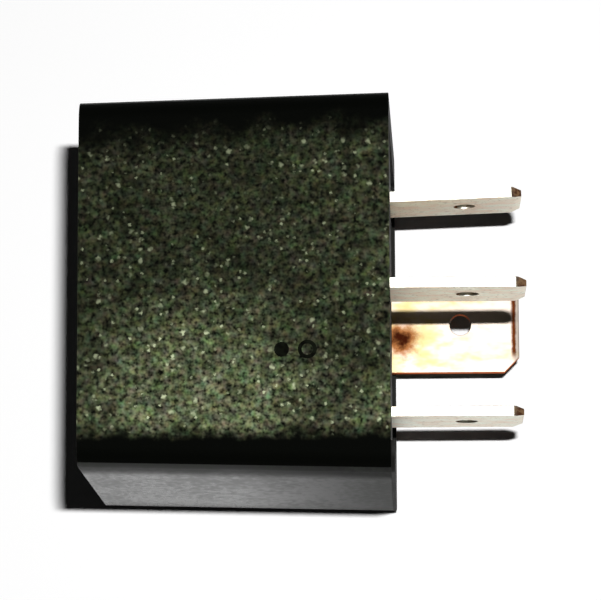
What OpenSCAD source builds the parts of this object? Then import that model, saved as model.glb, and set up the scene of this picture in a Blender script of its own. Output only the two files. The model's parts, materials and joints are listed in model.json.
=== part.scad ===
// Four-terminal automotive relay (normally open), drawn lying on one broad side.
// +X is the way the blades plug in and +Z points up, away from the side it lies on.
// The origin is on the seating plane of the base, where the line through the two coil
// blades (along Y) crosses the line through the two contact blades (along Z).

/* [Housing] */
// Width of the cover at its open end, along Y
body_w = 28.6; // [26:0.1:34]
// Height of the cover at its open end, along Z
body_h = 27.8; // [27:0.1:34]
// Length from the seating plane to the closed end
body_len = 23.4; // [22.8:0.1:34]
// Wall of the cover
wall = 1.0; // [0.8:0.05:1.4]
// Rounding of the four long edges
edge_r = 1.6; // [1.2:0.1:2.4]
// Mould draft of the two narrow sides, in degrees
side_draft = 1.4; // [0:0.1:1.5]
// Mould draft of the two broad sides, in degrees
face_draft = 0.4; // [0:0.1:1]
// Height of the terminal pattern's centre above the side it lies on
pattern_up = 12.0; // [11.8:0.1:13]
// Distance from the cover's middle to the terminal pattern's centre, along Y
pattern_side = 0.2; // [-0.4:0.05:0.4]

/* [Base] */
// Thickness of the plate that plugs the cover
base_t = 3.0; // [2.4:0.1:4]
// Thickness of the rim that stands in front of the cover's edge
rim_t = 0.3; // [0.2:0.05:1]
// Width of that rim
rim_w = 2.2; // [1.4:0.1:2.6]
// Gap all round between the base plate and the cover
base_gap = 0.08; // [0.04:0.01:0.15]
// Gap on each side of a blade in its slot
slot_gap = 0.04; // [0.02:0.01:0.1]
// Height of the snap ridges on the narrow sides of the base
snap_h = 0.3; // [0.2:0.05:0.45]
// Length of each snap ridge
snap_len = 10; // [6:0.5:16]

/* [Terminals] */
// Distance between the two coil blades
coil_pitch = 16.8; // [16.2:0.1:18]
// Distance from the pattern's centre up to the common contact blade
common_up = 9.4; // [9:0.1:10]
// Distance from the pattern's centre down to the switched contact blade
switched_down = 8.4; // [8.2:0.1:8.8]
// Thickness of every blade
blade_t = 0.8; // [0.6:0.05:1]
// Width of the coil blades and of the common blade
blade_w = 6.3; // [4.8:0.1:6.5]
// Width of the switched blade
wide_blade_w = 7.7; // [6.3:0.1:9.5]
// Sideways offset of the switched blade from the pattern's centre
wide_blade_side = 0.15; // [-0.3:0.05:0.3]
// Length of the blades in front of the seating plane
blade_len = 9.9; // [8:0.1:13]
// Corner chamfer at the tip of the coil blades and of the common blade
tip_chamfer = 0.8; // [0.6:0.1:1.6]
// Corner chamfer at the tip of the switched blade
wide_tip_chamfer = 1.2; // [0.6:0.1:1.6]
// Length over which a blade thins towards its tip
tip_taper = 0.6; // [0.4:0.1:2]
// Diameter of the locking hole in each blade
lock_hole_d = 1.7; // [1.2:0.1:2.2]
// Distance from the tip of the coil blades and of the common blade to their locking holes
lock_hole_back = 4.4; // [4:0.1:6]
// Distance from the tip of the switched blade to its locking hole
wide_lock_hole_back = 4.7; // [4:0.1:6]
// Sideways lean of the knocked coil blade, in degrees
knocked_lean = 2; // [0:0.1:2.5]

/* [Magnet] */
// Height of the coil's axis above the pattern's centre
coil_up = 1.4; // [1.2:0.1:1.5]
// Thickness of the yoke
yoke_t = 1.6; // [1.2:0.1:1.8]
// Width of the yoke
yoke_w = 12; // [10:0.1:13]
// Inner bend radius of the yoke
yoke_bend_r = 0.6; // [0.3:0.1:0.8]
// Diameter of the core
core_d = 6.0; // [5:0.1:6.5]
// Diameter of the core's staked spigot in the foot of the yoke
spigot_d = 4.4; // [3.5:0.1:4.8]
// Diameter of the pole at the end of the core
pole_d = 8.5; // [7:0.1:9.5]
// Thickness of the pole
pole_t = 0.8; // [0.6:0.1:1]
// Gap between the stop behind the contact and the cover's closed end
end_room = 0.7; // [0.5:0.05:1.4]
// Diameter of the winding
winding_d = 12.8; // [11:0.1:13.6]
// Diameter of the bobbin's flanges
flange_d = 14.8; // [14:0.1:15]
// Thickness of the bobbin's flanges
flange_t = 1.0; // [0.8:0.1:1.2]
// Wall of the bobbin's tube
tube_wall = 0.7; // [0.5:0.1:1]
// Diameter of the winding's wire ends
wire_d = 0.3; // [0.2:0.05:0.5]

/* [Armature and contacts] */
// Thickness of the armature
armature_t = 1.2; // [0.9:0.1:1.3]
// Angle that the armature swings from open to closed, in degrees
swing = 3; // [2:0.1:3.2]
// Gap that stays between the closed armature and the pole
rest_gap = 0.05; // [0.03:0.01:0.1]
// Thickness of the contact spring
leaf_t = 0.25; // [0.2:0.01:0.3]
// Width of the contact spring along the armature
leaf_w = 9.4; // [8:0.1:9.6]
// Width of the contact spring at its contact
leaf_tip_w = 4.4; // [3.8:0.1:5]
// Bend radius of the contact spring, along its middle
leaf_bend_r = 1.2; // [1:0.1:1.3]
// Diameter of the contacts
contact_d = 2.8; // [2.2:0.1:3]
// Thickness of the contacts
contact_t = 0.7; // [0.5:0.05:0.8]
// Diameter of the contacts' shanks
shank_d = 1.6; // [1.2:0.1:1.8]
// Height of the riveted ends of the contacts
rivet_end_t = 0.35; // [0.25:0.05:0.4]
// Height of the contacts below the pattern's centre
contact_down = 8.2; // [8.1:0.05:8.3]
// Shank diameter of the rivets that hold the contact spring
rivet_d = 1.5; // [1.2:0.1:1.8]
// Head diameter of those rivets
rivet_head_d = 2.5; // [2:0.1:3]
// Head height of those rivets
rivet_head_t = 0.4; // [0.3:0.05:0.5]

/* [Hidden] */

$fn = 48;

// small clearances: between closed contacts, between neighbours, round a rivet's shank
touch = 0.03;
near = 0.05;
rivet_gap = 0.01;

// how far a cutting shape runs past what it cuts
past = 1;

// heights that fix the armature and the contacts, from the pattern's centre
mid_z = body_h/2 - pattern_up;
mid_y = -pattern_side;
coil_z = coil_up;
leg_z = coil_z + flange_d/2 + yoke_bend_r + near;
leg_top_z = leg_z + yoke_t;
contact_z = -contact_down;

// how far the open contact's riveted end, and the stop behind it, reach behind the pole
contact_stack = armature_t + leaf_t + rivet_end_t;
stop_contact_z = contact_z - contact_d*0.4;
stop_reach = contact_stack*cos(swing) + (leg_top_z - stop_contact_z)*sin(swing) + touch;

// the winding takes the length that the other pieces leave between base and closed end
front_stack = rim_t + base_t + yoke_t + 2*flange_t + pole_t + rest_gap;
winding_len = body_len - wall - end_room - blade_t - stop_reach - front_stack;

// places along X, from the seating plane back to the closed end
plate_x = -rim_t;
inside_x = plate_x - base_t;
foot_x = inside_x - yoke_t;
winding_x = foot_x - flange_t;
top_flange_x = winding_x - winding_len;
pole_x = top_flange_x - flange_t;
pole_face_x = pole_x - pole_t;
armature_x = pole_face_x - rest_gap;
leaf_x = armature_x - armature_t;
leaf_back_x = leaf_x - leaf_t;
contact_face_x = leaf_x + contact_t;

// ends of the leaf and of the armature below the pole
tip_margin = 0.1;
leaf_tip_z = contact_z - contact_d/2 - tip_margin;
armature_past_pole = 3.0;
armature_tip_z = coil_z - pole_d/2 - armature_past_pole;

// width and height of the cover at a place along X
function width_at(x) = body_w + 2*(x + rim_t)*tan(side_draft);
function height_at(x) = body_h + 2*(x + rim_t)*tan(face_draft);

// ---- bent strip: a centre line with rounded corners, thickened on both sides ----
function unit(v) = v/norm(v);
function left_of(v) = [-v.y, v.x];
function turned(v, a) = [v.x*cos(a) - v.y*sin(a), v.x*sin(a) + v.y*cos(a)];
function bend(a, p, b, r, steps) =
    let(
        u = unit(p - a),
        v = unit(b - p),
        side = sign(u.x*v.y - u.y*v.x),
        angle = acos(u*v),
        spoke = left_of(u)*side*r,
        centre = p - u*r*tan(angle/2) + spoke
    )
    [for (i = [0:steps]) centre + turned(-spoke, side*angle*i/steps)];
function bent_line(points, r, steps = 6) = concat(
    [points[0]],
    [for (i = [1:len(points) - 2]) each bend(points[i - 1], points[i], points[i + 1], r, steps)],
    [points[len(points) - 1]]
);
function edge_point(line, i, reach) =
    let(
        last = len(line) - 1,
        before = unit(line[max(i, 1)] - line[max(i, 1) - 1]),
        after = unit(line[min(i, last - 1) + 1] - line[min(i, last - 1)]),
        normal = unit(left_of(before) + left_of(after))
    )
    line[i] + normal*reach/(normal*left_of(before));
module strip(line, t) {
    last = len(line) - 1;
    polygon(concat(
        [for (i = [0:last]) edge_point(line, i, t/2)],
        [for (i = [last:-1:0]) edge_point(line, i, -t/2)]
    ));
}

// extrudes an outline given in X and Z, centred on Y
module across_y(w) {
    rotate([90, 0, 0]) linear_extrude(w, center = true) children();
}

// extrudes an outline given in Z (to the left) and Y (up), from x towards -X
module along_x(x, t) {
    translate([x, 0, 0]) rotate([0, -90, 0]) linear_extrude(t) children();
}

// extrudes an outline given in X and Y, centred on Z
module across_z(w) {
    linear_extrude(w, center = true) children();
}

module rounded_rect(a, b, r) {
    square([a - 2*r, b], center = true);
    square([a, b - 2*r], center = true);
    for (i = [-1, 1], j = [-1, 1]) translate([i*(a/2 - r), j*(b/2 - r)]) circle(r);
}

// ---- housing ----
// four thin discs, the corners of a rounded section at one place along X
module section_corners(x, w, h, r) {
    for (i = [-1, 1], j = [-1, 1])
        translate([x, mid_y + i*(w/2 - r), mid_z + j*(h/2 - r)])
            rotate([0, 90, 0]) cylinder(r = r, h = disc_t, center = true, $fn = 32);
}

// a drafted block between two places along X, set in from the cover's outside
disc_t = 0.01;
inner_r = max(edge_r - wall, 0.4);
module tapered_block(open_x, closed_x, inset, r) {
    front_x = open_x - disc_t/2;
    back_x = closed_x + disc_t/2;
    hull() {
        section_corners(front_x, width_at(front_x) - 2*inset, height_at(front_x) - 2*inset, r);
        section_corners(back_x, width_at(back_x) - 2*inset, height_at(back_x) - 2*inset, r);
    }
}

// a ridge along Z on the narrow sides, of the given height
snap_x = plate_x - base_t*0.6;
snap_foot = 0.3;
snap_play = 0.1;
module snap_ridges(reach, h, len) {
    for (side = [-1, 1])
        translate([snap_x, mid_y + side*reach, mid_z])
            across_z(len)
                polygon([[-h - snap_foot, 0], [-h*0.2, side*h], [h*0.2, side*h], [h + snap_foot, 0]]);
}

// a ring and a dimple pressed into the upper broad side, as left by a mould insert
mark_x = -6.4;
mark_y = -5.5;
mark_ring_d = 1.4;
mark_line = 0.28;
mark_dimple_d = 1.1;
mark_spacing = 1.9;
mark_depth = 0.15;
module moulding_mark() {
    depth_z = mid_z + height_at(mark_x)/2 - mark_depth;
    translate([mark_x, mark_y, depth_z]) {
        difference() {
            cylinder(d = mark_ring_d, h = past);
            cylinder(d = mark_ring_d - 2*mark_line, h = 4*past, center = true);
        }
        translate([-mark_spacing, 0, 0]) cylinder(d = mark_dimple_d, h = past);
    }
}

base_w = width_at(inside_x) - 2*wall - 2*base_gap;
base_h = height_at(inside_x) - 2*wall - 2*base_gap;
module cover() {
    color([0.13, 0.14, 0.12])
        difference() {
            tapered_block(plate_x, -body_len, 0, edge_r);
            tapered_block(plate_x + past, wall - body_len, wall, inner_r);
            snap_ridges(base_w/2 - near, snap_h + near + snap_play, snap_len + 4*snap_play);
            moulding_mark();
        }
}

// the rim covers the cover's edge on three sides and thins out along the fourth corner
module base_rim() {
    inner_w = body_w - 2*rim_w;
    bottom_z = mid_z - body_h/2;
    translate([0, mid_y, 0]) difference() {
        along_x(0, rim_t) translate([mid_z, 0]) rounded_rect(body_h, body_w, edge_r);
        translate([-rim_t - past, -inner_w/2, bottom_z + rim_w])
            cube([rim_t + 2*past, inner_w, body_h]);
        translate([0, body_w/2 - rim_w/2, 0])
            across_y(rim_w + past)
                polygon([[0, bottom_z + rim_w], [past, bottom_z + rim_w], [past, bottom_z + 2*body_h],
                    [-rim_t - past, bottom_z + 2*body_h], [-rim_t, bottom_z + body_h - edge_r]]);
    }
}

function blade_slot_t() = blade_t + 2*slot_gap;
module upright_slot(y, z, w) {
    translate([0, y, z]) cube([4*base_t, blade_slot_t(), w + 2*slot_gap], center = true);
}

module base() {
    color([0.10, 0.10, 0.09])
        difference() {
            union() {
                along_x(plate_x, base_t) translate([mid_z, mid_y]) rounded_rect(base_h, base_w, inner_r);
                base_rim();
                snap_ridges(base_w/2 - near, snap_h + near, snap_len);
            }
            upright_slot(coil_pitch/2, 0, blade_w);
            upright_slot(-coil_pitch/2, 0, blade_w);
            upright_slot(0, common_up, blade_w);
            translate([0, wide_blade_side, -switched_down])
                cube([4*base_t, wide_blade_w + 2*slot_gap, blade_slot_t()], center = true);
            backstop_slot();
        }
}

// ---- terminals ----
// a blade lying in the XY plane with its tip at blade_len, starting at root
module blade(w, chamfer, hole_back, root) {
    half = w/2;
    tip = blade_len;
    thin = blade_t*0.3;
    behind = root - past;
    difference() {
        intersection() {
            across_z(blade_t)
                polygon([[root, -half], [tip - chamfer, -half], [tip, chamfer - half],
                    [tip, half - chamfer], [tip - chamfer, half], [root, half]]);
            across_y(w + past)
                polygon([[behind, -blade_t/2], [tip - tip_taper, -blade_t/2], [tip, -thin],
                    [tip, thin], [tip - tip_taper, blade_t/2], [behind, blade_t/2]]);
        }
        translate([tip - hole_back, 0, 0])
            cylinder(d = lock_hole_d, h = 4*blade_t, center = true);
    }
}

// coil terminal: a blade on edge, shoulders inside the base and a slim soldering tail
tail_w = 2.0;
tail_past_wing = 2.2;
tail_x = winding_x - tail_past_wing;
shoulder_len = 0.8;
shoulder_w = blade_w + 1.0;
lean_root = 0.4;
module coil_terminal(side, lean) {
    translate([0, side*coil_pitch/2, 0]) {
        translate([plate_x, 0, 0]) rotate([0, 0, lean]) translate([-plate_x, 0, 0])
            rotate([90, 0, 0]) blade(blade_w, tip_chamfer, lock_hole_back, plate_x - lean_root);
        across_y(blade_t) {
            translate([inside_x - shoulder_len, -blade_w/2])
                square([plate_x - inside_x + shoulder_len, blade_w]);
            translate([inside_x - shoulder_len, -shoulder_w/2]) square([shoulder_len, shoulder_w]);
            translate([tail_x, -tail_w/2]) square([inside_x - tail_x, tail_w]);
        }
    }
}
module terminal_85() { color([0.78, 0.77, 0.72]) coil_terminal(-1, 0); }
module terminal_86() { color([0.78, 0.77, 0.72]) coil_terminal(1, knocked_lean); }

// common terminal: a blade on edge with a tongue staked into the foot of the yoke
tongue_w = 2.0;
tongue_below_leg = 0.4;
tongue_z = leg_z - tongue_w/2 - tongue_below_leg;
module terminal_30() {
    color([0.78, 0.76, 0.70]) {
        translate([0, 0, common_up]) rotate([90, 0, 0])
            blade(blade_w, tip_chamfer, lock_hole_back, inside_x);
        translate([foot_x, -blade_t/2, tongue_z - tongue_w/2])
            cube([yoke_t + base_t/2, blade_t, tongue_w]);
    }
}

// switched terminal: a flat blade whose inner strip steps out past the coil
// and folds in at the top to carry the fixed contact
strip_w = 6.0;
strip_step = 1.5;
strip_z = -switched_down - strip_step;
strip_bend_r = 0.7;
step_x = inside_x - blade_t;
ledge_x = contact_face_x + touch + contact_t;
ledge_margin = 0.25;
ledge_end_z = contact_z + contact_d/2 + ledge_margin;
function switched_line() = bent_line([
    [plate_x - base_t/3, -switched_down],
    [step_x, -switched_down],
    [step_x - strip_step, strip_z],
    [ledge_x + blade_t/2, strip_z],
    [ledge_x + blade_t/2, ledge_end_z]
], strip_bend_r);
module terminal_87() {
    color([0.85, 0.47, 0.25])
        difference() {
            union() {
                translate([0, wide_blade_side, -switched_down])
                    blade(wide_blade_w, wide_tip_chamfer, wide_lock_hole_back, inside_x);
                across_y(strip_w) strip(switched_line(), blade_t);
            }
            translate([ledge_x, 0, contact_z]) rotate([0, 90, 0])
                cylinder(d = shank_d + 2*rivet_gap, h = 4*blade_t, center = true);
        }
}

// ---- magnet ----
foot_below_spigot = 2.6;
function yoke_line() = bent_line([
    [foot_x + yoke_t/2, coil_z - spigot_d/2 - foot_below_spigot],
    [foot_x + yoke_t/2, leg_z + yoke_t/2],
    [pole_face_x, leg_z + yoke_t/2]
], yoke_bend_r + yoke_t/2);
ear_w = 1.0;
ear_len = 0.9;
leaf_leg_len = 8.5;
leaf_leg_x = pole_face_x + leaf_leg_len;
yoke_rivet_inset = 1.9;
yoke_rivet_x = leaf_leg_x - yoke_rivet_inset;
rivet_y = 2.7;
module yoke_rivet_holes() {
    for (side = [-1, 1])
        translate([yoke_rivet_x, side*rivet_y, leg_z])
            cylinder(d = rivet_d + 2*rivet_gap, h = 4*yoke_t, center = true);
}
module yoke() {
    color([0.66, 0.66, 0.64])
        difference() {
            union() {
                across_y(yoke_w) strip(yoke_line(), yoke_t);
                for (side = [-1, 1])
                    translate([pole_face_x - ear_len, side*(yoke_w - ear_w)/2 - ear_w/2, leg_z])
                        cube([2*ear_len, ear_w, yoke_t]);
            }
            translate([foot_x, 0, coil_z]) rotate([0, 90, 0])
                cylinder(d = spigot_d + 2*rivet_gap, h = 4*yoke_t, center = true);
            translate([foot_x - past, -blade_slot_t()/2, tongue_z - tongue_w/2 - slot_gap])
                cube([yoke_t + 2*past, blade_slot_t(), tongue_w + 2*slot_gap]);
            yoke_rivet_holes();
        }
}

module core() {
    color([0.60, 0.60, 0.58])
        translate([0, 0, coil_z]) rotate([0, -90, 0]) {
            translate([0, 0, -inside_x]) cylinder(d = spigot_d, h = yoke_t);
            translate([0, 0, -foot_x]) cylinder(d = core_d, h = foot_x - pole_x);
            translate([0, 0, -pole_x]) cylinder(d = pole_d, h = pole_t);
        }
}

tube_d = core_d + 2*near + 2*tube_wall;
wing_margin = 1.2;
wing_w = coil_pitch + blade_t + 2*wing_margin;
wing_h = tail_w + 2*wing_margin;
module bobbin() {
    color([0.78, 0.74, 0.62])
        difference() {
            union() {
                translate([0, 0, coil_z]) rotate([0, -90, 0]) {
                    translate([0, 0, -foot_x]) cylinder(d = tube_d, h = foot_x - pole_x);
                    translate([0, 0, -foot_x]) cylinder(d = flange_d, h = flange_t);
                    translate([0, 0, -top_flange_x]) cylinder(d = flange_d, h = flange_t);
                }
                translate([winding_x, -wing_w/2, -wing_h/2]) cube([flange_t, wing_w, wing_h]);
            }
            translate([0, 0, coil_z]) rotate([0, 90, 0])
                cylinder(d = core_d + 2*near, h = 4*body_len, center = true);
            for (side = [-1, 1])
                translate([winding_x, side*coil_pitch/2, 0])
                    cube([4*flange_t, blade_slot_t(), tail_w + 2*slot_gap], center = true);
        }
}

// the winding, with one straight wire end to each coil terminal
lead_past_wing = 0.9;
lead_x = winding_x - lead_past_wing;
lead_sink = 0.5;
module winding_lead(side) {
    start = [lead_x, side*(winding_d/2 - lead_sink), coil_z];
    finish = [lead_x, side*(coil_pitch/2 - blade_t/2 - 2*near), 0];
    run = finish - start;
    translate(start) rotate([-atan2(run.y, run.z), 0, 0]) cylinder(d = wire_d, h = norm(run), $fn = 24);
}
module winding() {
    color([0.72, 0.36, 0.16]) {
        translate([0, 0, coil_z]) rotate([0, -90, 0])
            difference() {
                translate([0, 0, near - winding_x]) cylinder(d = winding_d, h = winding_len - 2*near);
                cylinder(d = tube_d + 2*near, h = body_len);
            }
        for (side = [-1, 1]) winding_lead(side);
    }
}

// a bead of solder round a coil terminal's tail, over the wire end that meets it
bead_d = 3.0;
bead_len = 1.2;
module solder_bead(side) {
    color([0.80, 0.80, 0.80])
        difference() {
            translate([lead_x + wire_d/2 + touch, side*coil_pitch/2, 0]) rotate([0, -90, 0])
                cylinder(d1 = bead_d, d2 = bead_d*0.8, h = bead_len);
            translate([tail_x - past, side*coil_pitch/2 - blade_t/2, -tail_w/2])
                cube([3*bead_d, blade_t, tail_w]);
            translate([lead_x, 0, 0])
                cube([wire_d + 2*touch, 3*coil_pitch, 2*bead_d], center = true);
        }
}
module solder_85() { solder_bead(-1); }
module solder_86() { solder_bead(1); }

// ---- armature, contact spring and contacts ----
// the pivot is the outer edge of the yoke's end; the closed parts are drawn flat on the
// pole and swung open about it, which is how they rest
pivot_x = armature_x;
pivot_z = leg_top_z;
module swung_open() {
    translate([pivot_x, 0, pivot_z]) rotate([0, swing, 0])
        translate([-pivot_x, 0, -pivot_z]) children();
}
function open_point(p) = [pivot_x, pivot_z] + turned(p - [pivot_x, pivot_z], -swing);

heel_chamfer = leaf_bend_r;
rivet_below_leg = 2.45;
armature_rivet_z = leg_z - rivet_below_leg;
ear_gap = 0.1;
armature_margin = 0.6;
armature_corner = 1.0;
module armature_outline() {
    rear_half = yoke_w/2 - ear_w - ear_gap;
    wide_half = yoke_w/2;
    tip_half = pole_d/2 + armature_margin;
    rear_z = leg_z - 2*ear_gap;
    corner_z = armature_tip_z + armature_corner;
    corner_half = tip_half - armature_corner;
    polygon([[pivot_z, -rear_half], [rear_z, -rear_half], [rear_z, -wide_half], [coil_z, -wide_half],
        [corner_z, -tip_half], [armature_tip_z, -corner_half], [armature_tip_z, corner_half],
        [corner_z, tip_half], [coil_z, wide_half], [rear_z, wide_half], [rear_z, rear_half],
        [pivot_z, rear_half]]);
}
module armature() {
    color([0.62, 0.62, 0.60])
        swung_open()
            difference() {
                intersection() {
                    along_x(armature_x, armature_t) armature_outline();
                    across_y(yoke_w)
                        polygon([[armature_x, armature_tip_z - past], [armature_x, pivot_z],
                            [leaf_x + heel_chamfer, pivot_z], [leaf_x, pivot_z - heel_chamfer],
                            [leaf_x, armature_tip_z - past]]);
                }
                armature_rivet_holes();
            }
}

// a rivet along X through the armature and the spring, on the side of one coil terminal
module armature_rivet(side) {
    color([0.72, 0.72, 0.70])
        swung_open()
            translate([armature_x, side*rivet_y, armature_rivet_z]) rotate([0, -90, 0]) {
                cylinder(d = rivet_d, h = armature_t + leaf_t);
                translate([0, 0, armature_t + leaf_t]) cylinder(d = rivet_head_d, h = rivet_head_t);
            }
}
module armature_rivet_85() { armature_rivet(-1); }
module armature_rivet_86() { armature_rivet(1); }
module armature_rivet_holes() {
    for (side = [-1, 1])
        translate([leaf_x, side*rivet_y, armature_rivet_z]) rotate([0, 90, 0])
            cylinder(d = rivet_d + 2*rivet_gap, h = 4*armature_t, center = true);
}

// one leaf: along the back of the armature, round its heel and down the back of the yoke
function leaf_line() =
    let(
        mid = leaf_x - leaf_t/2,
        leg = leg_top_z + leaf_t/2,
        tip = open_point([mid, leaf_tip_z]),
        along = turned([0, 1], -swing),
        heel = tip + along*(leg - tip.y)/along.y
    )
    bent_line([tip, heel, [leaf_leg_x, leg]], leaf_bend_r, 10);
leaf_narrow_len = 3.0;
module leaf_outline() {
    half = leaf_w/2;
    tip_half = leaf_tip_w/2;
    narrow_z = armature_tip_z + tip_margin;
    wide_z = narrow_z + leaf_narrow_len;
    top_z = leg_top_z + leaf_t + past;
    polygon([[leaf_tip_z - past, -tip_half], [narrow_z, -tip_half], [wide_z, -half],
        [top_z, -half], [top_z, half], [wide_z, half],
        [narrow_z, tip_half], [leaf_tip_z - past, tip_half]]);
}

// the window leaves two narrow bands that bend, between the two pairs of rivets
leaf_window_w = 3.0;
leaf_window_z = armature_rivet_z + rivet_head_d/2 + leaf_t;
leaf_window_x = pole_face_x + ear_len + leaf_t;
module contact_spring() {
    color([0.86, 0.62, 0.36])
        difference() {
            intersection() {
                across_y(leaf_w) strip(leaf_line(), leaf_t);
                along_x(0, 2*body_len) leaf_outline();
            }
            translate([-body_len, -leaf_window_w/2, leaf_window_z])
                cube([body_len + leaf_window_x, leaf_window_w, body_h]);
            swung_open() armature_rivet_holes();
            swung_open() contact_shank_hole();
            yoke_rivet_holes();
        }
}

module yoke_rivet(side) {
    color([0.72, 0.72, 0.70])
        translate([yoke_rivet_x, side*rivet_y, leg_z]) {
            cylinder(d = rivet_d, h = yoke_t + leaf_t);
            translate([0, 0, yoke_t + leaf_t]) cylinder(d = rivet_head_d, h = rivet_head_t);
        }
}
module yoke_rivet_85() { yoke_rivet(-1); }
module yoke_rivet_86() { yoke_rivet(1); }

module contact_shank_hole() {
    translate([leaf_x, 0, contact_z]) rotate([0, 90, 0])
        cylinder(d = shank_d + 2*rivet_gap, h = 4*leaf_t, center = true);
}
module moving_contact() {
    color([0.85, 0.84, 0.80])
        swung_open()
            translate([0, 0, contact_z]) rotate([0, -90, 0]) {
                translate([0, 0, -contact_face_x]) cylinder(d = contact_d, h = contact_t);
                translate([0, 0, -leaf_x]) cylinder(d = shank_d, h = leaf_t);
                translate([0, 0, -leaf_back_x]) cylinder(d = contact_d*0.8, h = rivet_end_t);
            }
}
module fixed_contact() {
    color([0.85, 0.84, 0.80])
        translate([0, 0, contact_z]) rotate([0, -90, 0]) {
            translate([0, 0, -ledge_x]) cylinder(d = contact_d, h = contact_t);
            translate([0, 0, -ledge_x - blade_t]) cylinder(d = shank_d, h = blade_t);
            translate([0, 0, -ledge_x - blade_t - rivet_end_t])
                cylinder(d = contact_d*0.8, h = rivet_end_t);
        }
}

// the stop behind the moving contact: a strip on edge, pressed into the base beside the
// switched terminal and folded over the back of the contact
stop_w = 3.4;
stop_beside_strip = 3.6;
stop_y = strip_w/2 + stop_beside_strip;
stop_sink = 1.8;
stop_x = armature_x - stop_reach;
module backstop() {
    color([0.74, 0.74, 0.72])
        translate([0, 0, contact_z])
            across_z(stop_w)
                strip(bent_line([[inside_x + stop_sink, stop_y], [stop_x - blade_t/2, stop_y],
                    [stop_x - blade_t/2, -leaf_tip_w/2]], strip_bend_r), blade_t);
}
module backstop_slot() {
    translate([inside_x - past, stop_y - blade_slot_t()/2, contact_z - stop_w/2 - slot_gap])
        cube([past + stop_sink + slot_gap, blade_slot_t(), stop_w + 2*slot_gap]);
}

cover();
base();
terminal_30();
terminal_87();
terminal_85();
terminal_86();
yoke();
core();
bobbin();
winding();
solder_85();
solder_86();
armature();
armature_rivet_85();
armature_rivet_86();
contact_spring();
yoke_rivet_85();
yoke_rivet_86();
moving_contact();
fixed_contact();
backstop();
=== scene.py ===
"""Plug-in automotive relay lying on one broad side, on a plain pale floor.

Lengths are written in millimetres, and MM turns them into Blender's metres. Places and
directions are in the CAD frame: +X is the way the blades plug in, +Z is up.
"""

import json
import math

import bmesh
import bpy
from mathutils import Euler, Matrix, Vector

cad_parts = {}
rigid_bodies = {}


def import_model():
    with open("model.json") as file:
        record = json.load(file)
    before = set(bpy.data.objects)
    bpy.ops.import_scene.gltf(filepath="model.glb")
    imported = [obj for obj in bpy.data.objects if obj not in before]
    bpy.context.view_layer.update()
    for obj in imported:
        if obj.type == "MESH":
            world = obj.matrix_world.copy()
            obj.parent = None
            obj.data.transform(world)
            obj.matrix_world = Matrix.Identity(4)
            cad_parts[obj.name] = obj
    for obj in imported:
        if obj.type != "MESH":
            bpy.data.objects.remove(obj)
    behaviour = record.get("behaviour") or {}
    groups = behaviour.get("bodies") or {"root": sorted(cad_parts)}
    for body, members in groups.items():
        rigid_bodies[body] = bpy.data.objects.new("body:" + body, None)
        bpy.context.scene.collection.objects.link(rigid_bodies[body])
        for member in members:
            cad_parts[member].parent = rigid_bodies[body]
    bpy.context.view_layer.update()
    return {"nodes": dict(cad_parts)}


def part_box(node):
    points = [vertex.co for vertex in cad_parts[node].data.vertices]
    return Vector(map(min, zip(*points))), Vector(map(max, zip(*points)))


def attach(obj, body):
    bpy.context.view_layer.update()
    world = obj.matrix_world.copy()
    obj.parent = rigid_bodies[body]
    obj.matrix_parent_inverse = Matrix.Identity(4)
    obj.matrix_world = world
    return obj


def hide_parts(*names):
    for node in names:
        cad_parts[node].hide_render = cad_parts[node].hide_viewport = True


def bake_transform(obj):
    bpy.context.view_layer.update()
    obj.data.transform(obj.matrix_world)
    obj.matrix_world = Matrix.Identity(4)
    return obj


MM = 0.001

for leftover in list(bpy.data.objects):
    bpy.data.objects.remove(leftover)

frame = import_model()
nodes = frame["nodes"]


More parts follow.
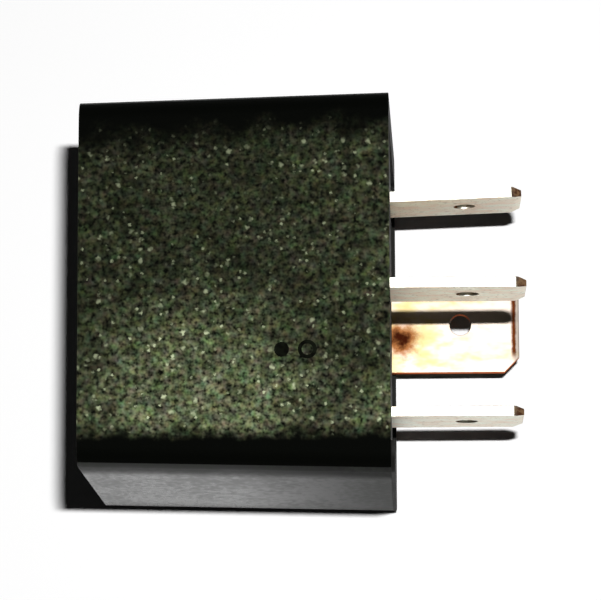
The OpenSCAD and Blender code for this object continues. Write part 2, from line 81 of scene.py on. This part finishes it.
# ---------------------------------------------------------------- shader nodes
class Nodes:
    """An emptied node tree, with short names for the nodes that this script uses.

    A value is a number, a colour of three numbers or another node's output.
    """

    def __init__(self, owner):
        owner.use_nodes = True
        self.tree = owner.node_tree
        self.tree.nodes.clear()
        self.coordinates = self.new("TexCoord").outputs

    def new(self, kind):
        return self.tree.nodes.new("ShaderNode" + kind)

    def put(self, socket, value):
        """Sets a socket to a number or colour, or links another socket to it."""
        if isinstance(value, bpy.types.NodeSocket):
            self.tree.links.new(value, socket)
        elif isinstance(value, tuple) and len(value) == 3 and len(socket.default_value) == 4:
            socket.default_value = (*value, 1.0)
        else:
            socket.default_value = value

    def calc(self, operation, a, b=0.0):
        node = self.new("Math")
        node.operation = operation
        self.put(node.inputs[0], a)
        self.put(node.inputs[1], b)
        return node.outputs[0]

    def times(self, value, *others):
        for other in others:
            value = self.calc("MULTIPLY", value, other)
        return value

    def plus(self, value, *others):
        for other in others:
            value = self.calc("ADD", value, other)
        return value

    def largest(self, value, *others):
        for other in others:
            value = self.calc("MAXIMUM", value, other)
        return value

    def vector(self, operation, *values):
        node = self.new("VectorMath")
        node.operation = operation
        for socket, value in zip(node.inputs, values):
            self.put(socket, value)
        return node.outputs

    def axes(self, vector):
        node = self.new("SeparateXYZ")
        self.put(node.inputs[0], vector)
        return node.outputs

    def mix(self, factor, a, b):
        """The colour a where factor is 0, b where it is 1."""
        colour_a, colour_b, colour_out = 6, 7, 2
        node = self.new("Mix")
        node.data_type = "RGBA"
        self.put(node.inputs["Factor"], factor)
        self.put(node.inputs[colour_a], a)
        self.put(node.inputs[colour_b], b)
        return node.outputs[colour_out]

    def spread(self, value, low, high, to_low=0.0, to_high=1.0):
        """Maps a number from low..high to to_low..to_high, smoothly and clamped."""
        node = self.new("MapRange")
        node.interpolation_type = "SMOOTHSTEP"
        for socket, number in zip(node.inputs, (value, low, high, to_low, to_high)):
            self.put(socket, number)
        return node.outputs[0]

    def near(self, point, inner, outer, to_inner=1.0, to_outer=0.0, wander=0.0):
        """Maps the distance from a point, from inner..outer to to_inner..to_outer."""
        point = [c * MM for c in point]
        distance = self.vector("DISTANCE", self.coordinates["Object"], point)["Value"]
        distance = self.plus(distance, wander)
        return self.spread(distance, inner * MM, outer * MM, to_inner, to_outer)

    def noise(self, size, detail=2.0, roughness=0.5, stretch=(1, 1, 1), shift=0.0, output="Fac"):
        """Noise whose blobs are about size wide, and longer along stretch's axes."""
        mapping = self.new("Mapping")
        self.put(mapping.inputs["Vector"], self.coordinates["Object"])
        self.put(mapping.inputs["Scale"], [1.0 / s for s in stretch])
        self.put(mapping.inputs["Location"], [shift] * 3)
        texture = self.new("TexNoise")
        self.put(texture.inputs["Vector"], mapping.outputs["Vector"])
        self.put(texture.inputs["Scale"], 1.0 / (size * MM))
        self.put(texture.inputs["Detail"], detail)
        self.put(texture.inputs["Roughness"], roughness)
        return texture.outputs[output]

    def cells(self, size, output="Distance"):
        """Voronoi cells about size wide, with uneven outlines."""
        wobble_size = 0.3 * size
        wobble_depth = 0.35 * size * MM
        place = self.coordinates["Object"]
        wobble = self.noise(wobble_size, detail=0.0, output="Color")
        place = self.vector("MULTIPLY_ADD", wobble, [wobble_depth] * 3, place)["Vector"]
        texture = self.new("TexVoronoi")
        self.put(texture.inputs["Vector"], place)
        self.put(texture.inputs["Scale"], 1.0 / (size * MM))
        return texture.outputs[output]

    def specks(self, size, share, radius):
        """Soft round spots of uneven strength, in a share of the cells of one size."""
        chance = self.axes(self.cells(size, "Color"))
        spot = self.spread(self.cells(size), 0.2 * radius / size, radius / size, 1.0, 0.0)
        strength = self.spread(chance["Y"], 0.1, 0.95, 0.25, 1.0)
        return self.times(spot, strength, self.calc("GREATER_THAN", chance["X"], 1.0 - share))

    def tinge(self, colour, size, amount):
        """The colour, drifting in hue over blotches about size wide."""
        blotches = self.noise(size, detail=1.0, output="Color")
        drift = self.vector("MULTIPLY_ADD", blotches, [2 * amount] * 3, [1 - amount] * 3)
        return self.vector("MULTIPLY", drift["Vector"], colour)["Vector"]


class Look(Nodes):
    """A new material with one shader."""

    def __init__(self, name):
        self.material = bpy.data.materials.new(name)
        super().__init__(self.material)
        self.shader = self.new("BsdfPrincipled")
        self.put(self.new("OutputMaterial").inputs["Surface"], self.shader.outputs["BSDF"])

    def set(self, name, value):
        self.put(self.shader.inputs[name], value)

    def bump(self, height, depth, strength=1.0):
        node = self.new("Bump")
        self.put(node.inputs["Distance"], depth * MM)
        self.put(node.inputs["Strength"], strength)
        self.put(node.inputs["Height"], height)
        self.set("Normal", node.outputs["Normal"])


# ---------------------------------------------------------------- materials
def grained_black(name):
    """The cover's broad sides: spark-eroded grain, with a painted highlight and painted glints.
    """
    valleys, highlight_tops = (0.0006, 0.0009, 0.0004), (0.208, 0.243, 0.126)
    glint_colour = (0.52, 0.58, 0.36)
    highlight_middle, highlight_corner = (-14.0, -11.5, 15.7), (-1.0, -10.5, 15.7)
    least_highlight = 0.19
    closed_end = -23.4
    border_slope, border_drift, border_grain = -0.05, 4.0, 0.9

    paint = Look(name)
    where = paint.axes(paint.coordinates["Object"])
    coarse = paint.noise(1.0)
    fine = paint.noise(0.36, detail=1.0, roughness=0.6, shift=3.0)
    cloud = paint.noise(2.6, shift=7.0)
    grain = paint.times(
        paint.spread(fine, 0.20, 0.82, 0.0, 1.1), paint.spread(coarse, 0.25, 0.75, 0.45, 1.35)
    )
    # Painted highlight: paler around a spot by the middle of the lower long edge, around a
    # smaller one by the blade end, and towards the blade end, in drifting clouds.
    painted_highlight = paint.largest(
        paint.near(highlight_middle, 1, 14, 1.0, least_highlight),
        paint.near(highlight_corner, 1, 6, 0.70, 0.0),
        paint.spread(where["X"], -12 * MM, -3 * MM, least_highlight, 0.27),
    )
    painted_highlight = paint.times(painted_highlight, paint.spread(cloud, 0.25, 0.75, 0.7, 1.3))

    # The painted highlight stops short of both rounded long edges, which stay black. Its upper
    # border drifts with the clouds and slopes away from the closed end, and the lower one is
    # ragged with the grain.
    drift = paint.times(paint.calc("SUBTRACT", cloud, 0.5), border_drift * MM)
    slope = paint.times(paint.plus(where["X"], -closed_end * MM), border_slope)
    upper = paint.plus(where["Y"], paint.plus(drift, slope))
    upper = paint.spread(upper, 8.3 * MM, 11.3 * MM, 1.0, 0.0)
    lower = paint.plus(where["Y"], paint.times(coarse, border_grain * MM))
    lower = paint.spread(lower, -11.8 * MM, -10.1 * MM)
    highlight_band = paint.times(upper, lower)

    # The grain tops are painted pale inside the painted highlight; the valleys stay black.
    tops = paint.tinge(highlight_tops, size=0.60, amount=0.42)
    colour = paint.mix(paint.times(painted_highlight, grain, highlight_band), valleys, tops)
    # Bright specks: painted glints in the base colour, a little glossier too, and stronger
    # inside the painted highlight.
    specks = paint.largest(
        paint.specks(size=0.80, share=0.40, radius=0.26),
        paint.specks(size=0.45, share=0.25, radius=0.17),
    )
    specks = paint.times(specks, highlight_band, paint.spread(painted_highlight, 0.1, 0.8, 0.35, 1.0))
    paint.set("Base Color", paint.mix(specks, colour, glint_colour))
    paint.set("Roughness", paint.spread(specks, 0.0, 1.0, 0.75, 0.50))
    paint.set("Specular IOR Level", 0.03)
    paint.bump(paint.plus(paint.times(coarse, 0.5), paint.times(fine, 0.5)), depth=0.05)
    return paint.material


def smooth_black(name, dark, pale, roughness, depth, specular, blade_fade=0.0, top_fade=0.0):
    """Moulded black plastic without grain: a dusty mottle, duller by blade_fade towards the
    blades and by top_fade towards the upper broad side."""
    paint = Look(name)
    where = paint.axes(paint.coordinates["Object"])
    smudge = paint.noise(4.5, stretch=(1, 1, 2), shift=11.0)
    fine = paint.noise(0.50, detail=1.0, stretch=(1, 1, 2), shift=5.0)
    mottle = paint.plus(paint.times(smudge, 0.5), paint.times(fine, 0.5))
    paint.set("Base Color", paint.mix(paint.spread(mottle, 0.36, 0.64), dark, pale))
    dull = paint.plus(
        paint.spread(where["X"], -14 * MM, 0.0, roughness, roughness + blade_fade),
        paint.spread(where["Z"], 9 * MM, 14 * MM, 0.0, top_fade),
        paint.spread(mottle, 0.36, 0.64, -0.06, 0.06),
    )
    paint.set("Roughness", dull)
    paint.set("Specular IOR Level", specular)
    paint.bump(fine, depth)
    return paint.material


def tinned(name):
    """Tin-plated brass strip: rolling streaks, dull stains, bare brass on the cut tip, painted
    very dark there as a painted dark reflection.
    """
    bright, stained, dirt = (0.92, 0.93, 0.80), (0.94, 0.82, 0.68), (0.42, 0.34, 0.24)
    brass_painted_dark, brass = (0.10, 0.035, 0.012), (0.26, 0.15, 0.07)

    paint = Look(name)
    streaks = paint.noise(0.14, roughness=0.6, stretch=(10, 1, 1))
    stains = paint.noise(0.9, roughness=0.6, stretch=(2, 1, 1), shift=5.0)
    grime = paint.noise(0.35, roughness=0.6, shift=9.0)
    face = paint.mix(paint.spread(stains, 0.36, 0.64), bright, stained)
    face = paint.mix(paint.spread(grime, 0.56, 0.72, 0.0, 0.5), face, dirt)
    # The cut tip: bare brass, partly painted very dark as a painted dark reflection of its
    # chamfer.
    tip_brass_and_reflection = paint.mix(paint.spread(grime, 0.40, 0.60), brass_painted_dark, brass)
    at_tip = paint.spread(paint.axes(paint.coordinates["Normal"])["X"], 0.35, 0.75)
    paint.set("Base Color", paint.mix(at_tip, face, tip_brass_and_reflection))
    paint.set("Metallic", 1.0)
    paint.set("Roughness", paint.spread(stains, 0.3, 0.7, 0.42, 0.56))
    paint.bump(streaks, depth=0.004, strength=0.6)
    return paint.material


def copper_blade(name):
    """Bare copper alloy: bright where rubbed, a dark brown spot at the root, a painted dark
    reflection in a line along the tip's bevel, and redder on the cut edges."""
    bright, stained = (0.56, 0.48, 0.41), (0.53, 0.42, 0.20)
    root_brown, root_darkest = (0.22, 0.085, 0.027), (0.027, 0.005, 0.0017)
    bevel_reflection_dark, cut_red = (0.085, 0.020, 0.004), (0.80, 0.30, 0.15)
    root = (0.4, -1.0, -8.0)

    paint = Look(name)
    where = paint.axes(paint.coordinates["Object"])
    streaks = paint.noise(0.12, roughness=0.6, stretch=(14, 1, 1))
    stains = paint.noise(1.6, detail=3.0, roughness=0.6, stretch=(2, 1, 1), shift=2.0)
    spots = paint.noise(0.6, detail=3.0, roughness=0.65, shift=4.0)
    worn = paint.plus(stains, paint.spread(where["X"], 2 * MM, 6 * MM, 0.05, -0.12))
    colour = paint.mix(paint.spread(worn, 0.38, 0.66), bright, stained)

    # A brown spot at the root by the base, darkest in its middle, with a ragged outline.
    wander = paint.times(paint.calc("SUBTRACT", spots, 0.5), 1.6 * MM)
    colour = paint.mix(paint.near(root, 0.7, 2.0, wander=wander), colour, root_brown)
    colour = paint.mix(paint.near(root, 0.2, 1.0, wander=wander), colour, root_darkest)
    # Painted dark reflection: a brown line along the tip's bevel.
    along = paint.plus(where["X"], paint.times(wander, 0.12))
    bevel_reflection_line = paint.times(
        paint.spread(along, 9.16 * MM, 9.42 * MM),
        paint.spread(along, 9.54 * MM, 9.74 * MM, 1.0, 0.0),
        paint.spread(where["Y"], -2.9 * MM, -2.0 * MM),
    )
    colour = paint.mix(bevel_reflection_line, colour, bevel_reflection_dark)
    sideways = paint.calc("ABSOLUTE", paint.axes(paint.coordinates["Normal"])["Y"])
    colour = paint.mix(paint.spread(sideways, 0.3, 0.8), colour, cut_red)
    paint.set("Base Color", colour)
    paint.set("Specular Tint", (0.55, 0.22, 0.14))
    paint.set("Metallic", 1.0)
    paint.set("Roughness", paint.spread(stains, 0.3, 0.7, 0.50, 0.56))
    paint.bump(streaks, depth=0.003, strength=0.5)
    return paint.material


def metal(name, bright, stained, roughness, streak=(1, 1, 1), depth=0.004):
    """Plain metal for the pieces inside: stains, a rolled or turned bump, uneven gloss."""
    paint = Look(name)
    grain = paint.noise(0.12, roughness=0.6, stretch=streak)
    stains = paint.noise(1.4, detail=3.0, roughness=0.6, shift=6.0)
    paint.set("Base Color", paint.mix(paint.spread(stains, 0.4, 0.7), bright, stained))
    paint.set("Metallic", 1.0)
    paint.set("Roughness", paint.spread(stains, 0.3, 0.7, roughness, roughness + 0.08))
    paint.bump(grain, depth, strength=0.7)
    return paint.material


def nylon(name):
    """Natural glass-filled nylon: faint flow marks and fibres near the surface."""
    cream, amber, fibre = (0.74, 0.69, 0.54), (0.66, 0.60, 0.45), (0.82, 0.79, 0.68)

    paint = Look(name)
    flow = paint.noise(2.5, stretch=(3, 1, 1))
    fibres = paint.noise(0.15, detail=3.0, roughness=0.6, stretch=(4, 1, 1), shift=3.0)
    colour = paint.mix(paint.spread(flow, 0.3, 0.7), cream, amber)
    colour = paint.mix(paint.spread(fibres, 0.55, 0.75, 0.0, 0.35), colour, fibre)
    paint.set("Base Color", colour)
    paint.set("Roughness", paint.spread(fibres, 0.3, 0.7, 0.40, 0.55))
    paint.set("Subsurface Weight", 0.15)
    paint.set("Subsurface Scale", 0.5 * MM)
    paint.bump(fibres, depth=0.01, strength=0.6)
    return paint.material


def enamelled(name):
    """Enamelled copper wire: copper under a clear amber coat."""
    light, deep = (0.72, 0.32, 0.13), (0.58, 0.22, 0.08)

    paint = Look(name)
    tint = paint.noise(0.8, stretch=(1, 3, 3))
    paint.set("Base Color", paint.mix(paint.spread(tint, 0.3, 0.7), light, deep))
    paint.set("Metallic", 0.9)
    paint.set("Roughness", paint.spread(tint, 0.3, 0.7, 0.28, 0.38))
    paint.set("Coat Weight", 0.7)
    paint.set("Coat Roughness", 0.12)
    return paint.material


cover_grain = grained_black("cover_grain")
cover_side = smooth_black(
    "cover_side",
    dark=(0.002, 0.002, 0.0015),
    pale=(0.016, 0.019, 0.014),
    roughness=0.30,
    depth=0.003,
    specular=0.5,
    blade_fade=0.35,
    top_fade=0.45,
)
# Painted shade for the sunk parts of the mark.
cover_recess_shade = smooth_black(
    "cover_recess_shade",
    dark=(0.001, 0.001, 0.0005),
    pale=(0.007, 0.009, 0.005),
    roughness=0.75,
    depth=0.010,
    specular=0.02,
)
base_black = smooth_black(
    "base_black",
    dark=(0.006, 0.006, 0.005),
    pale=(0.013, 0.013, 0.011),
    roughness=0.60,
    depth=0.008,
    specular=0.10,
)
tin = tinned("tinned_brass")
copper = copper_blade("bare_copper_alloy")
plated = metal("plated_steel", (0.66, 0.66, 0.63), (0.56, 0.55, 0.50), 0.32, (8, 1, 1))
core_metal = metal("core_steel", (0.60, 0.59, 0.57), (0.50, 0.49, 0.46), 0.28, (1, 6, 6))
stop_metal = metal("stop_steel", (0.72, 0.71, 0.68), (0.62, 0.60, 0.55), 0.34, (8, 1, 1))
solder_metal = metal("solder", (0.74, 0.74, 0.73), (0.60, 0.60, 0.58), 0.30, depth=0.02)
bronze = metal("spring_bronze", (0.84, 0.60, 0.34), (0.72, 0.46, 0.24), 0.26, (1, 1, 10))
silver = metal("contact_silver", (0.86, 0.85, 0.82), (0.70, 0.68, 0.63), 0.35)
bobbin_nylon = nylon("bobbin_nylon")
wire = enamelled("enamelled_wire")


# ---------------------------------------------------------------- pieces
def finished(bm, name, material):
    """A new object of the scene from the bmesh, in one material."""
    mesh = bpy.data.meshes.new(name)
    bm.to_mesh(mesh)
    bm.free()
    mesh.materials.append(material)
    piece = bpy.data.objects.new(name, mesh)
    bpy.context.scene.collection.objects.link(piece)
    return piece


def shade(bm, smooth_below):
    """Smooth faces, with the edges of smooth_below degrees or more kept sharp."""
    limit = math.radians(smooth_below)
    for face in bm.faces:
        face.smooth = True
    for edge in bm.edges:
        edge.smooth = len(edge.link_faces) == 2 and edge.calc_face_angle() < limit


def node_bmesh(node):
    """A copy of a CAD node's mesh, with its triangles joined into flat faces."""
    bm = bmesh.new()
    bm.from_mesh(nodes[node].data)
    bmesh.ops.remove_doubles(bm, verts=bm.verts, dist=1e-7)
    bmesh.ops.dissolve_limit(
        bm,
        angle_limit=math.radians(0.5),
        use_dissolve_boundaries=False,
        verts=bm.verts,
        edges=bm.edges,
    )
    return bm


def soften(bm, radius, segments, chosen):
    """Rounds the edges of more than 32 degrees that chosen picks."""
    limit = math.radians(32)
    sharp = [
        edge
        for edge in bm.edges
        if len(edge.link_faces) == 2 and edge.calc_face_angle() > limit and chosen(edge)
    ]
    bmesh.ops.bevel(
        bm,
        geom=sharp,
        offset=radius * MM,
        offset_type="OFFSET",
        segments=segments,
        profile=0.5,
        affect="EDGES",
        clamp_overlap=True,
    )


def keep_flat(piece):
    """Flat faces keep their own normals beside a softened edge."""
    weighted = piece.modifiers.new("flat faces", "WEIGHTED_NORMAL")
    weighted.mode = "FACE_AREA"
    weighted.weight = 100
    weighted.keep_sharp = True


def stand_for(node, piece, body):
    """The piece takes a CAD node's place, and rides on the body if one is named."""
    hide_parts(node)
    if body:
        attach(piece, body)


def dressed(node, name, material, radius=0.05, body="housing"):
    """A copy of a CAD node with its sharp edges softened, which stands for that node."""
    bm = node_bmesh(node)
    soften(bm, radius, segments=2, chosen=lambda edge: True)
    shade(bm, smooth_below=34)
    piece = finished(bm, name, material)
    keep_flat(piece)
    stand_for(node, piece, body)
    return piece


def make_cover():
    """The cover with its ends rounded: grained on the broad sides and on what stands up in
    the mark, black as painted shade on what lies lower in the mark, smooth on the other sides."""
    end_reach = 0.02 * MM
    mark_from_top, mark_from_middle, mark_from_ends = 1 * MM, 9 * MM, 2 * MM
    mark_face_area = 2 * MM * MM
    mark_sunk = 0.04 * MM
    low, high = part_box("cover")

    def at_an_end(edge):
        x = [v.co.x for v in edge.verts]
        return max(x) < low.x + end_reach or min(x) > high.x - end_reach

    def in_mark(face):
        x, y, z = face.center
        on_top = z > high.z - mark_from_top and abs(y) < mark_from_middle
        from_ends = min(high.x - x, x - low.x)
        return on_top and from_ends > mark_from_ends and face.area < mark_face_area

    bm = node_bmesh("cover")
    soften(bm, 0.22, segments=3, chosen=at_an_end)
    shade(bm, smooth_below=28)
    piece = finished(bm, "cover_shell", cover_grain)
    keep_flat(piece)
    mesh = piece.data
    mesh.materials.append(cover_side)
    mesh.materials.append(cover_recess_shade)
    grain_index, side_index, recess_shade_index = 0, 1, 2
    for face in mesh.polygons:
        on_a_narrow_side, at_either_end = abs(face.normal.y) > 0.8, abs(face.normal.x) > 0.5
        if on_a_narrow_side or at_either_end:
            face.material_index = side_index
    mark_faces = [face for face in mesh.polygons if in_mark(face)]
    surface = max((face.center.z for face in mark_faces), default=0.0)
    # What lies lower in the mark gets the painted shade.
    for face in mark_faces:
        sunk = face.center.z < surface - mark_sunk
        face.material_index = recess_shade_index if sunk else grain_index
    stand_for("cover", piece, "housing")


def tube(bm, start, end, radius, sides=14):
    """A closed round bar from start to end."""
    axis = (end - start).normalized()
    turn = axis.to_track_quat("Z", "Y").to_matrix().to_4x4()
    turn.translation = (start + end) / 2
    bmesh.ops.create_cone(
        bm,
        cap_ends=True,
        segments=sides,
        radius1=radius,
        radius2=radius,
        depth=(end - start).length,
        matrix=turn,
    )


def make_winding():
    """Rounds of wire side by side between the flanges, and the two ends that leave them."""
    wire_pitch, groove, lead_radius = 0.32 * MM, 0.10 * MM, 0.148 * MM
    lead_overlap, lead_clearance = 0.5 * MM, 0.2 * MM
    steps, sides = 6, 96

    low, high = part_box("winding")
    axis_z = (low.z + high.z) / 2
    outer = (high.z - low.z) / 2
    corners = [v.co for v in nodes["winding"].data.vertices]
    inner = min(math.hypot(c.y, c.z - axis_z) for c in corners if abs(c.y) < outer / 2)
    length = high.x - low.x
    turns = round(length / wire_pitch)
    pitch = length / turns

    # points (x, radius) along the coil, with one bulge for each turn of wire
    profile = [(low.x, inner)]
    for turn in range(turns):
        for step in range(steps):
            share = step / steps
            bulge = abs(math.sin(math.pi * share)) ** 0.5
            profile.append((low.x + (turn + share) * pitch, outer - (1 - bulge) * groove))
    profile += [(high.x, outer - groove), (high.x, inner)]

    bm = bmesh.new()
    rings = []
    for side in range(sides):
        angle = 2 * math.pi * side / sides
        ring = [(x, r * math.sin(angle), axis_z + r * math.cos(angle)) for x, r in profile]
        rings.append([bm.verts.new(point) for point in ring])
    for ring, following in zip(rings, rings[1:] + rings[:1]):
        for i in range(len(profile)):
            j = (i + 1) % len(profile)
            bm.faces.new((ring[i], ring[j], following[j], following[i]))

    # each lead goes from inside the turns to the far end of the CAD node's own lead
    for side in (-1, 1):
        past = [c for c in corners if c.y * side > outer + lead_clearance]
        lead_x = sum(c.x for c in past) / len(past)
        root = Vector((lead_x, side * (outer - lead_overlap), axis_z))
        reach = max((c - root).length for c in past)
        cap = [c for c in past if (c - root).length > reach - lead_clearance]
        tube(bm, root, sum(cap, Vector()) / len(cap), lead_radius)
    bmesh.ops.recalc_face_normals(bm, faces=bm.faces)
    shade(bm, smooth_below=50)
    stand_for("winding", finished(bm, "winding_turns", wire), "housing")


def make_leaf():
    """The contact spring between the yoke and the armature, on no body, its place baked into its
    mesh.
    """
    piece = dressed("contact_spring", "spring_leaf", bronze, 0.03, body=None)
    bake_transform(piece)


def make_rivets(holder, body):
    """The two rivets that hold the contact spring to the yoke or to the armature."""
    for side in (85, 86):
        rivet, head = f"{holder}_rivet_{side}", f"{holder}_rivet_head_{side}"
        dressed(rivet, head, plated, 0.15, body)


make_cover()
dressed("base", "base_plate", base_black, 0.06)
for number in (30, 85, 86):
    dressed(f"terminal_{number}", f"blade_{number}", tin)
dressed("terminal_87", "blade_87", copper)
dressed("yoke", "yoke_strip", plated, 0.08)
dressed("core", "core_pin", core_metal, 0.10)
dressed("bobbin", "bobbin_spool", bobbin_nylon, 0.10)
make_winding()
for number in (85, 86):
    dressed(f"solder_{number}", f"solder_bead_{number}", solder_metal, 0.30)
dressed("armature", "armature_plate", plated, 0.08, "armature")
make_rivets("armature", "armature")
make_leaf()
make_rivets("yoke", "housing")
dressed("moving_contact", "moving_contact_tip", silver, 0.15, "armature")
dressed("fixed_contact", "fixed_contact_tip", silver, 0.15)
dressed("backstop", "backstop_strip", stop_metal, 0.08)


# ---------------------------------------------------------------- floor, light, camera
FLOOR_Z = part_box("base")[0].z - 0.01 * MM
FLOOR_HALF = 3.0  # metres
FLOOR_SEEN, FLOOR_MIRRORED, FLOOR_LIGHTING = 1.12, 0.90, 0.10
FLOOR_BLANK = (38, 90)  # how far out the floor begins and ends to turn into an even white
WORLD_LEVEL = 0.004
BACKDROP_LEVEL = 0.90
BACKDROP_HEIGHT = (-0.05, 0.35)  # Z of the direction where it begins and ends to fade
LAMP_PLACE = (15.8, -11.9, 280.0)
LAMP_SIZE = (14.0, 4.7)
LAMP_BRIGHTNESS = 1.0  # what a white surface at the origin gets when it faces the lamp
CAMERA_PLACE = (1.1635, -47.3266, 278.431)
CAMERA_TURN = (9.815, 1.788, -0.186)  # degrees
CAMERA_LENS, CAMERA_SENSOR = 216.65, 36.0
CAMERA_CLIP = (0.01, 20.0)  # metres


def make_floor():
    """A plain white sheet, which lights the part only a little from below. Far from the part
    it is evenly white to the camera and in what shines."""
    mesh = bpy.data.meshes.new("floor")
    corners = [(-1, -1), (1, -1), (1, 1), (-1, 1)]
    corners = [(x * FLOOR_HALF, y * FLOOR_HALF, FLOOR_Z) for x, y in corners]
    mesh.from_pydata(corners, [], [(0, 1, 2, 3)])
    floor = bpy.data.objects.new("floor", mesh)
    bpy.context.scene.collection.objects.link(floor)

    material = bpy.data.materials.new("floor")
    mesh.materials.append(material)
    paint = Nodes(material)
    rays = paint.new("LightPath").outputs
    seen = rays["Is Camera Ray"]
    mirrored = paint.largest(rays["Is Glossy Ray"], rays["Is Transmission Ray"])
    not_scattered = paint.calc("LESS_THAN", rays["Diffuse Depth"], 0.5)
    tone = paint.largest(
        paint.spread(seen, 0.0, 1.0, FLOOR_LIGHTING, FLOOR_SEEN),
        paint.times(mirrored, not_scattered, FLOOR_MIRRORED),
    )
    distance = paint.vector("LENGTH", paint.coordinates["Object"])["Value"]
    blank = paint.spread(distance, *[edge * MM for edge in FLOOR_BLANK])
    paper = paint.new("BsdfDiffuse")
    paint.put(paper.inputs["Color"], tone)
    either = paint.new("MixShader")
    paint.put(either.inputs[0], paint.times(blank, paint.largest(seen, mirrored)))
    paint.put(either.inputs[1], paper.outputs[0])
    paint.put(either.inputs[2], paint.new("Emission").outputs[0])
    paint.put(paint.new("OutputMaterial").inputs["Surface"], either.outputs[0])


def make_world():
    """Dim even light all round, white to the camera above the floor. What shines also
    mirrors the pale backdrop, which fades upwards from the horizon."""
    world = bpy.data.worlds.new("surroundings")
    bpy.context.scene.world = world
    paint = Nodes(world)
    rays = paint.new("LightPath").outputs
    mirrored = paint.largest(rays["Is Glossy Ray"], rays["Is Transmission Ray"])
    height = paint.axes(paint.coordinates["Generated"])["Z"]
    backdrop = paint.spread(height, *BACKDROP_HEIGHT, BACKDROP_LEVEL, WORLD_LEVEL)
    tone = paint.mix(mirrored, (WORLD_LEVEL,) * 3, backdrop)
    tone = paint.mix(rays["Is Camera Ray"], tone, (1.0, 1.0, 1.0))
    background = paint.new("Background")
    paint.put(background.inputs["Color"], tone)
    paint.put(paint.new("OutputWorld").inputs["Surface"], background.outputs[0])


def make_lamp():
    """A soft oval lamp, turned to the origin with its long side along X."""
    place = Vector(LAMP_PLACE)
    data = bpy.data.lights.new("key", "AREA")
    data.shape = "ELLIPSE"
    data.size, data.size_y = [s * MM for s in LAMP_SIZE]
    reach = place.length * MM
    data.energy = LAMP_BRIGHTNESS * math.pi**2 * reach**2
    lamp = bpy.data.objects.new("key", data)
    lamp.location = place * MM
    back = place.normalized()
    upright = back.cross(Vector((1, 0, 0))).normalized()
    lamp.rotation_euler = Matrix((upright.cross(back), upright, back)).transposed().to_euler()
    bpy.context.scene.collection.objects.link(lamp)
    lamp.visible_camera = False


def make_camera():
    """The camera that the photograph's outlines and shadows ask for."""
    data = bpy.data.cameras.new("camera")
    data.sensor_width = CAMERA_SENSOR
    data.lens = CAMERA_LENS
    data.clip_start, data.clip_end = CAMERA_CLIP
    camera = bpy.data.objects.new("camera", data)
    camera.location = Vector(CAMERA_PLACE) * MM
    camera.rotation_euler = Euler([math.radians(a) for a in CAMERA_TURN], "XYZ")
    bpy.context.scene.collection.objects.link(camera)
    bpy.context.scene.camera = camera


make_floor()
make_world()
make_lamp()
make_camera()
bpy.context.scene.view_settings.view_transform = "Standard"
